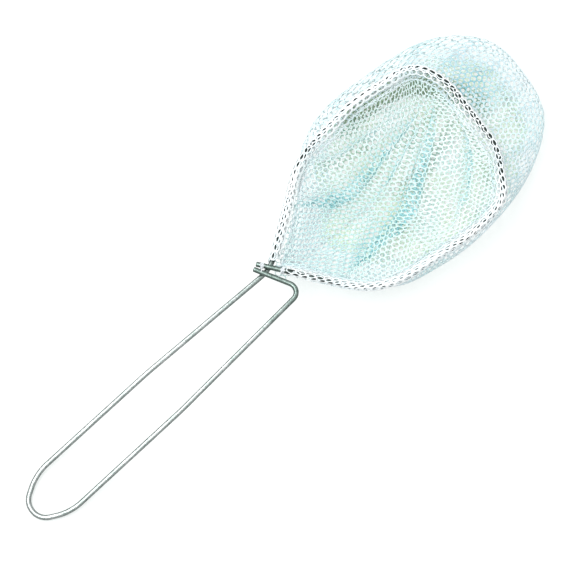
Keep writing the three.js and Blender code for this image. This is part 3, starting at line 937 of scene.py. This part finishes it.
def tuck_place(flat):
    """Cloth points (along the tuck, across it) in small waves above the floor; the strip narrows
    towards its ends as the root of a sine."""
    at = flat[:, 0] / tuck_length * (len(tuck_line) - 1)
    share = np.clip(flat[:, 0] / tuck_length, 0, 1)
    half = TUCK_WIDTH / 2 * np.sqrt(np.maximum(np.sin(math.pi * share), 0))
    points = between(tuck_line, at) + between(tuck_side, at) * flat[:, 1:]
    crossing = np.sin(flat[:, 0] / 3.1) * np.sin(flat[:, 1] / 2.3 + flat[:, 0] / 9)
    points[:, 2] = TUCK_HEIGHT + TUCK_WAVE * crossing
    return points, np.abs(flat[:, 1]) < half, 0.5 + 0.3 * np.sin(flat[:, 0] / 7)


# The tuck's colours are dark olive all through: painted shade.
tuck_shade_cloth = cloth_material(
    "mesh_cloth_tuck_painted_shade", tone(0.62, 0.71, 0.60), tone(0.50, 0.60, 0.49), tone(0.58, 0.67, 0.54)
)
tuck = knit(
    "net_tuck", tuck_place, (-3, -TUCK_WIDTH / 2 - 3), (tuck_length + 3, TUCK_WIDTH / 2 + 3),
    pitch=TUCK_PITCH, width=TUCK_STRAND, depth=HEM_STRAND,
)
tuck.data.materials.append(tuck_shade_cloth)
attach(tuck, "root")

# Slack of the bag. Inside the hoop the cloth hangs from the hem as a shallow bowl, and what is
# too long for the bowl lies in flat folds that run from the throat to the hoop's far corner.
BOWL_FLOOR = 5.0
BOWL_REACH_NEAR = 20.0
BOWL_REACH_FAR = 8.5
FOLD_LIFT = 1.9
FOLD_SETTLE = 16.0
SLACK_PITCH = 3.8
SLACK_STRAND = 0.57
PLEATS = 48
PLEAT_SHIFT = 1.3
PLEAT_CORNER = (372.0, 32.0)
# Each fold's line in plan, from the throat onwards: along the frame, across it, and the lap, which
# is how far the cloth doubles back under itself there.
FOLDS = (
    ((236, 56, 0), (262, 50, 2), (277, 41, 4), (290, 40, 5), (305, 38, 4), (345, 36, 0)),
    (
        (222, 38, 1), (237, 30, 5), (252, 22, 8), (267, 18, 9),
        (290, 21, 8), (312, 25, 7), (345, 30, 3), (358, 31, 0),
    ),
    ((252, 6, 0), (275, 6, 3), (300, 13, 5), (325, 20, 4), (350, 29, 1), (356, 30, 0)),
    (
        (222, -22, 1), (236, -19, 6), (253, -17, 10), (270, -17, 12), (285, -14, 11),
        (302, -4, 9), (320, 6, 8), (345, 22, 4), (358, 30, 0),
    ),
    (
        (282, -46, 0), (300, -40, 3), (318, -32, 6), (332, -22, 7),
        (346, -8, 5), (352, 2, 2), (356, 8, 0),
    ),
)
# The folds after which the cloth is back where it would lie flat.
FOLDS_ABOVE = 3
# Where the slack is pulled tight: middle in plan, reach along and across, and how far it is drawn.
STRETCHED = (238.0, 4.0, 38.0, 28.0)
STRETCH = 0.96

bowl_edge = stitch_line[:, :2]
bowl_inward = unit(-rim_out[:, :2])
# The bowl falls away gently by the throat and steeply by the far corner.
far_share = smooth(rim[:, 0], 235, 300) * smooth(rim[:, 1] + 0.9 * (rim[:, 0] - 320), -50, 20)
bowl_reach = BOWL_REACH_NEAR + (BOWL_REACH_FAR - BOWL_REACH_NEAR) * eased(far_share[:, None], 6)[:, 0]


def folded(plan):
    """The plan with its folds laid in, one after the other from the left arm. At a fold's line the
    cloth runs back by its lap and on again, so three layers lie there: the place moves back by
    2 x lap x ramp, where the ramp rises over one lap, and the height climbs with the ramp and
    settles again further on. Past the folds above it the cloth is back where it lay flat.
    Returns plan, height and painted shade, deepest in the lower layers of each fold."""
    x, y = plan[:, 0].copy(), plan[:, 1].copy()
    height = np.zeros(len(x))
    shade = np.zeros(len(x))
    for fold in FOLDS[:FOLDS_ABOVE]:
        line = np.array(fold, float)
        y -= 2 * np.interp(x, line[:, 0], line[:, 2])
    for fold in FOLDS:
        line = np.array(fold, float)
        centre = np.interp(x, line[:, 0], line[:, 1])
        lap = np.interp(x, line[:, 0], line[:, 2])
        run = np.maximum(lap, 2.5)
        past = (centre - lap - y) / run
        ramp = np.clip(past + 0.5, 0, 1)
        step = 0.6 * ramp + 0.4 * ramp * ramp * (3 - 2 * ramp)
        y = y + 2 * lap * step
        settle = np.exp(-np.maximum(past - 0.5, 0) * run / FOLD_SETTLE)
        height += FOLD_LIFT * np.clip(lap / 4, 0, 1) * step * settle
        band = (y - centre) / np.maximum(0.8 * lap, 1)
        under = 1 - 0.8 * smooth(past, 0.1, 0.6)
        shade = np.maximum(shade, np.clip(lap / 8, 0, 1) * np.exp(-band ** 2) * under)
    return np.column_stack([x, y]), height, shade


def pleated(plan, calm):
    """Plan points moved square to their ray from the far corner by shift x sin(pleats x angle),
    which crowds the mesh into soft pleats that spread from there, but not where it is calm."""
    ray = plan - PLEAT_CORNER
    angle = np.arctan2(ray[:, 1], -ray[:, 0])
    sideways = unit(np.column_stack([-ray[:, 1], ray[:, 0]]))
    sway = np.sin(PLEATS * angle + 1.5 * np.sin(ray[:, 0] / 21))
    sway = sway * np.exp(-((angle + 0.15) / 0.9) ** 2) * (1 - calm)
    return plan + sideways * (PLEAT_SHIFT * sway)[:, None], sway


def excess(distance, drop, reach):
    """How much longer the bowl's wall, drop x exp(-distance / reach), is than its plan from
    here inwards: reach x (root - 1 - log((1 + root) / 2)), with root = sqrt(1 + slope squared)."""
    slope = drop / reach * np.exp(-distance / reach)
    root = np.sqrt(1 + slope * slope)
    return reach * (root - 1 - np.log((1 + root) / 2)), root


def bowl(plan):
    """Plan points drawn on to the bowl's wall near the hem by as much as the wall is longer than
    its plan, with their height, and whether they lie inside the hem."""
    within, away = inside_ring(plan, bowl_edge)
    nearest = np.linalg.norm(plan[:, None] - bowl_edge[None], axis=2).argmin(1)
    signed = np.where(within, away, -away)
    drop = stitch_line[nearest, 2] - BOWL_FLOOR
    reach = bowl_reach[nearest]
    distance = np.maximum(signed, 0) + 1
    for _ in range(12):
        more, root = excess(distance, drop, reach)
        distance = distance - (distance - more - signed) / root
        distance = np.maximum(distance, -5.0)
    moved = plan + bowl_inward[nearest] * (distance - signed)[:, None]
    height = BOWL_FLOOR + drop * np.exp(-np.maximum(distance, 0) / reach)
    return moved, height, distance > np.where(reach > 14, -3.4, -1.6)


def drawn_straight(flat):
    """Where the slack is pulled tight, its rows of zigzag thread are drawn nearly straight: a bell
    round the middle, cut off at the top."""
    x, y, along, across = STRETCHED
    bell = np.exp(-((flat[:, 0] - x) / along) ** 2 - ((flat[:, 1] - y) / across) ** 2)
    return STRETCH * np.minimum(1.4 * bell, 1)


def slack_place(flat):
    """Flat cloth to the folded bowl: wandered a little, folded in plan, then hung from the hem."""
    x, y = flat[:, 0], flat[:, 1]
    wander = np.column_stack(
        [
            1.3 * np.sin(y / 11 + x / 40) + 0.5 * np.sin(y / 4.5),
            1.3 * np.sin(x / 13 + 1.0) + 0.6 * np.sin(x / 5.2),
        ]
    )
    plan, lift, shade = folded(flat + wander)
    calm = drawn_straight(flat)
    plan, sway = pleated(plan, calm)
    moved, height, inside = bowl(plan)
    ripple = 0.5 * np.sin(x / 5.5 + y / 14) * (1 - calm) + 0.6 * sway
    points = np.column_stack([moved, height + lift + ripple])
    # Painted shade: the folds' lower layers and the crests of the pleats.
    return points, inside, np.clip(shade + 0.15 * np.clip(sway, 0, 1), 0, 1)


slack_cloth = cloth_material(
    "mesh_cloth_slack", tone(0.95, 1.0, 1.0), tone(0.54, 0.78, 0.80), tone(0.88, 0.97, 0.95)
)
slack = knit(
    "net_slack", slack_place, bowl_edge.min(0) - [14, 46], bowl_edge.max(0) + [14, 46],
    turn=math.radians(-36), flatten=drawn_straight, pitch=SLACK_PITCH, width=SLACK_STRAND,
)
slack.data.materials.append(slack_cloth)
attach(slack, "root")

# Threads. The hem is closed with a running stitch, the bag's seam with a zigzag, and two short
# lengths are knotted round the hoop's crossbar. All are white two-ply spun polyester.
THREAD_RADIUS = 0.27
THREAD_LAY = 1.6
STITCH_LENGTH = 5.4
STITCH_RISE = 1.0
SEAM_WIDTH = 0.9
SEAM_STEP = 2.6
SEAM_HEIGHT = 1.9
TIE_SETBACK = 1.7
TIE_RADIUS = 0.33
KNOT_SIZE = 0.42


def spun(path, radius, reference, lay=THREAD_LAY):
    """The rings of two plies laid round each other: each ply's line circles the path at half the
    thread's radius, once in each lay, half a turn from the other."""
    ways = unit(np.gradient(path, axis=0))
    side = unit(np.cross(ways, reference))
    lift = np.cross(side, ways)
    turn = (2 * math.pi * run_of(path) / lay)[:, None]
    lines = [
        path + radius / 2 * (np.cos(turn + start) * side + np.sin(turn + start) * lift)
        for start in (0, math.pi)
    ]
    return [rings_along(line, np.full(len(line), 0.6 * radius), 6, reference) for line in lines]


def thread_piece(name, parts, replaced):
    """One piece of thread from the rings of its plies."""
    points, faces, pairs = [], [], []
    for rings in parts:
        own, own_faces = skin(rings)
        pairs.append(run_uvs(rings, own_faces))
        faces += [face + sum(map(len, points)) for face in own_faces]
        points.append(own)
    piece = new_piece(name, np.vstack(points), faces, np.concatenate(pairs))
    piece.data.materials.append(sewing_thread)
    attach(piece, "root")
    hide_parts(replaced)


def thread_material():
    """Spun polyester: white with a soft sheen, and fibres that run slantwise round each ply."""
    made, tree, shader = material_of("sewing_thread", Roughness=0.7, IOR=1.46, Sheen_Weight=0.3)
    run = node(tree, "ShaderNodeUVMap", uv_map="run").outputs["UV"]
    laid = {"Vector": run, "Rotation": (0, 0, 0.6), "Scale": (1.2, 9.0, 1.0)}
    fibre = noise(tree, node(tree, "ShaderNodeMapping", laid).outputs["Vector"], 1.0, 4.0)
    colour = ramp(tree, fibre, [(0.35, tone(0.84, 0.88, 0.90)), (0.62, tone(0.97, 0.98, 0.99))])
    tree.links.new(colour, shader.inputs["Base Color"])
    tree.links.new(bump(tree, fibre, 0.5, 0.0001), shader.inputs["Normal"])
    return made


sewing_thread = thread_material()

stitch_at = np.arange(2.0, HEM_LENGTH - 2.0, 0.45)
stitch_base = between(hem_line, stitch_at / HEM_LENGTH * (HEM_COUNT - 1))
stitch_out = between(hem_out, stitch_at / HEM_LENGTH * (HEM_COUNT - 1))
pierced = STITCH_RISE * np.tanh(2.5 * np.sin(2 * math.pi * stitch_at / STITCH_LENGTH))
foot_far = math.hypot(HEM_LEAN, HEM_DEPTH)
stitch_reach = hem_wander(stitch_at) - HEM_LEAN + pierced * HEM_DEPTH / foot_far
stitches = stitch_base + stitch_out * stitch_reach[:, None]
stitches[:, 2] -= HEM_DEPTH + pierced * HEM_LEAN / foot_far
thread_piece("hem_thread", spun(laid_down(stitches), THREAD_RADIUS, FRAME_UP), "hem_stitching")

far_column = int(HEM_LENGTH / 2 / RIM_LENGTH * RIM_COUNT)
throat_column = int((HEM_LENGTH + RIM_LENGTH) / 2 / RIM_LENGTH * RIM_COUNT)
seam_rings = slice(3, 22)
seam_down, seam_up = wall_grid[seam_rings, far_column], wall_grid[seam_rings, throat_column][::-1]
inward = unit((bag_middle - seam_down) * [1, 1, 0])
seam_path = np.vstack([seam_down + 1.3 * inward, seam_up - 1.3 * inward[::-1]])
seam_path[:, 2] = np.maximum(seam_path[:, 2], SEAM_HEIGHT)
seam_path = evened(seam_path, 0.3)
seam_side = unit(np.cross(seam_path[-1] - seam_path[0], [0, 0, 1.0]))
zigzag = 2 / math.pi * np.arcsin(0.95 * np.sin(2 * math.pi * run_of(seam_path) / SEAM_STEP))
seam_path = seam_path + SEAM_WIDTH * zigzag[:, None] * seam_side
thread_piece("seam_thread", spun(seam_path, THREAD_RADIUS, seam_side), "seam_stitching")


def bound(distance, turns, tails):
    """A thread wound round the wire: a helix of radius wire + thread, a trefoil knot above it, and
    two tails that leave the knot on arcs and hang. Tails end at (along, aside, up) from the knot."""
    at = np.array([np.interp(distance, wire_run, laid_wire[:, k]) for k in range(3)])
    beyond = np.array([np.interp(distance + 1, wire_run, laid_wire[:, k]) for k in range(3)])
    way = unit(beyond - at)
    aside = unit(np.cross(way, FRAME_UP))
    lift = np.cross(aside, way)
    angle = np.linspace(0, 2 * math.pi * turns, int(60 * turns))[:, None]
    reach = WIRE_RADIUS + TIE_RADIUS
    advance = (angle / (2 * math.pi) - turns / 2) * 2.1 * TIE_RADIUS
    winding = at + way * advance + reach * (np.sin(angle) * aside + np.cos(angle) * lift)
    knot_place = at + lift * (reach + 2 * KNOT_SIZE) + aside * 0.3
    t = np.linspace(0.08, 2 * math.pi - 0.08, 90)[:, None]
    knot = knot_place + KNOT_SIZE * (
        (np.sin(t) + 2 * np.sin(2 * t)) * way
        + (np.cos(t) - 2 * np.cos(2 * t)) * aside
        - 1.2 * np.sin(3 * t) * lift
    )
    parts = spun(winding, TIE_RADIUS, way) + spun(knot, TIE_RADIUS, lift)
    for along, out, up in tails:
        share = np.linspace(0, 1, 40)[:, None]
        end = knot_place + along * way + out * aside + up * lift
        bulge = knot_place + 0.7 * (along * way + out * aside) + 0.8 * lift
        line = (1 - share) ** 2 * knot_place + 2 * share * (1 - share) * bulge + share ** 2 * end
        parts += spun(line, TIE_RADIUS, way + 0.01 * lift)
    return parts


left_tie = bound(HOOP_STUB - WIRE_RADIUS - TIE_SETBACK, 2.2, ((0.6, 4.6, -2.4), (-1.4, -3.4, -1.2)))
thread_piece("tie_left", left_tie, "throat_tie_left")
right_tie = bound(HEM_FROM - 2 * TIE_RADIUS, 2.4, ((-1.6, 4.4, -3.4), (1.2, -2.6, -0.6)))
thread_piece("tie_right", right_tie, "throat_tie_right")

# Studio. A pale table, soft light from all round and one large lamp up and to the left, seen by
# a long lens from the handle's side.
TARGET = PLACE + np.array([198.74, 1.59, 0.0])
CAMERA_BACK = np.array([-0.2559, -0.2736, 0.9272])
CAMERA_RIGHT = np.array([0.7304, -0.6830, 0.0])
CAMERA_DISTANCE = 900.0
LENS = 93.75
TABLE_HALF = 3
TABLE_PAINT = (0.42, 0.41, 0.41, 1)
# What the camera sees on top of the light on the table, which makes it white round the net.
TABLE_GLOW = (0.58, 0.62, 0.61, 1)

back = unit(CAMERA_BACK)
right = unit(CAMERA_RIGHT)
above = np.cross(back, right)
lens = bpy.data.cameras.new("camera")
lens.lens = LENS
lens.sensor_width = 36
camera = bpy.data.objects.new("camera", lens)
turned_to = Matrix(np.column_stack([right, above, back]).tolist()).to_4x4()
camera.matrix_world = Matrix.Translation(Vector((TARGET + back * CAMERA_DISTANCE) * MM)) @ turned_to
bpy.context.scene.collection.objects.link(camera)
bpy.context.scene.camera = camera

table_mesh = bpy.data.meshes.new("table")
table_corners = [(x * TABLE_HALF, y * TABLE_HALF, 0) for x, y in ((-1, -1), (1, -1), (1, 1), (-1, 1))]
table_mesh.from_pydata(table_corners, [], [(0, 1, 2, 3)])
table = bpy.data.objects.new("table", table_mesh)
bpy.context.scene.collection.objects.link(table)
table_top, tree, shader = material_of("table_top", Roughness=0.9)
shader.inputs["Base Color"].default_value = TABLE_PAINT
seen = node(tree, "ShaderNodeLightPath").outputs
glow = node(tree, "ShaderNodeEmission", {"Strength": seen["Is Camera Ray"], "Color": TABLE_GLOW})
both = node(tree, "ShaderNodeAddShader", {0: shader.outputs["BSDF"], 1: glow.outputs["Emission"]})
tree.links.new(both.outputs["Shader"], tree.nodes["Material Output"].inputs["Surface"])
table_mesh.materials.append(table_top)

world = bpy.data.worlds.new("studio")
bpy.context.scene.world = world
world.use_nodes = True
tree = world.node_tree
seen = node(tree, "ShaderNodeLightPath").outputs
straight = worked(tree, "MAXIMUM", seen["Is Camera Ray"], seen["Is Transmission Ray"])
mirrored = worked(tree, "MAXIMUM", straight, seen["Is Glossy Ray"])
strength = spread(tree, mirrored, 0.0, 1.0, 0.93, 1.0)
# Only what is mirrored sees the studio's walls, which are darker low down than the ceiling is.
toward = node(tree, "ShaderNodeNewGeometry").outputs["Position"]
height = node(tree, "ShaderNodeSeparateXYZ", {"Vector": toward}).outputs["Z"]
walls = spread(tree, height, 0.25, 0.75, 0.25, 1.0, "SMOOTHSTEP")
level = worked(tree, "MULTIPLY", strength, worked(tree, "POWER", walls, seen["Is Glossy Ray"]))
tree.links.new(level, tree.nodes["Background"].inputs["Strength"])
tree.nodes["Background"].inputs["Color"].default_value = (1, 1, 1, 1)


def soft_lamp(name, place, size, power, aim=(0.05, 0.0, 0.0)):
    """A square lamp turned towards the net."""
    lamp = bpy.data.lights.new(name, "AREA")
    lamp.size = size
    lamp.energy = power
    piece = bpy.data.objects.new(name, lamp)
    piece.location = place
    piece.rotation_euler = (Vector(aim) - Vector(place)).to_track_quat("-Z", "Y").to_euler()
    bpy.context.scene.collection.objects.link(piece)


soft_lamp("lamp_above", (-0.35, 0.15, 0.9), 0.5, 3.6)
soft_lamp("lamp_left", (-0.1, 0.6, 0.75), 0.4, 2.0)
bpy.context.scene.view_settings.view_transform = "Standard"
